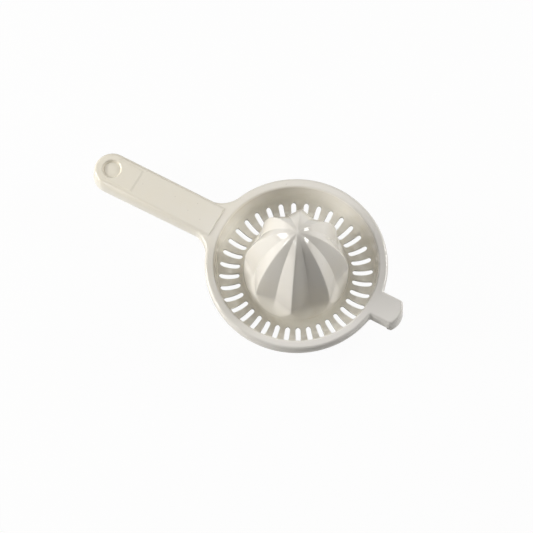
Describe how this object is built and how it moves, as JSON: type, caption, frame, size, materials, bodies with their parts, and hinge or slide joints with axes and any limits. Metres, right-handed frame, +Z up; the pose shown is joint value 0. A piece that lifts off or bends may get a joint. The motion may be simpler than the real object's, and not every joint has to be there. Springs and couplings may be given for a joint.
{
  "type": "hand citrus squeezer",
  "caption": "Hand citrus squeezer: a fluted reaming cone in a slotted dish, with a flat handle and a rest lug, moulded in ivory plastic.",
  "frame": {"origin": "middle of the length and width, on the surface that the dish stands on", "axes": "+Z is up through the cone's tip, +X points from the handle to the rest lug, -X along the handle"},
  "size_m": [0.2395, 0.125, 0.0813],
  "materials": {
    "ivory_plastic": "glossy off-white moulded plastic"
  },
  "bodies": {
    "root": {"reamer_cone": "ivory_plastic", "cone_foot": "ivory_plastic", "strainer": "ivory_plastic", "dish_wall": "ivory_plastic", "rim": "ivory_plastic", "handle_neck": "ivory_plastic", "handle": "ivory_plastic", "hanging_recess": "ivory_plastic", "rest_lug": "ivory_plastic"}
  },
  "joints": []
}
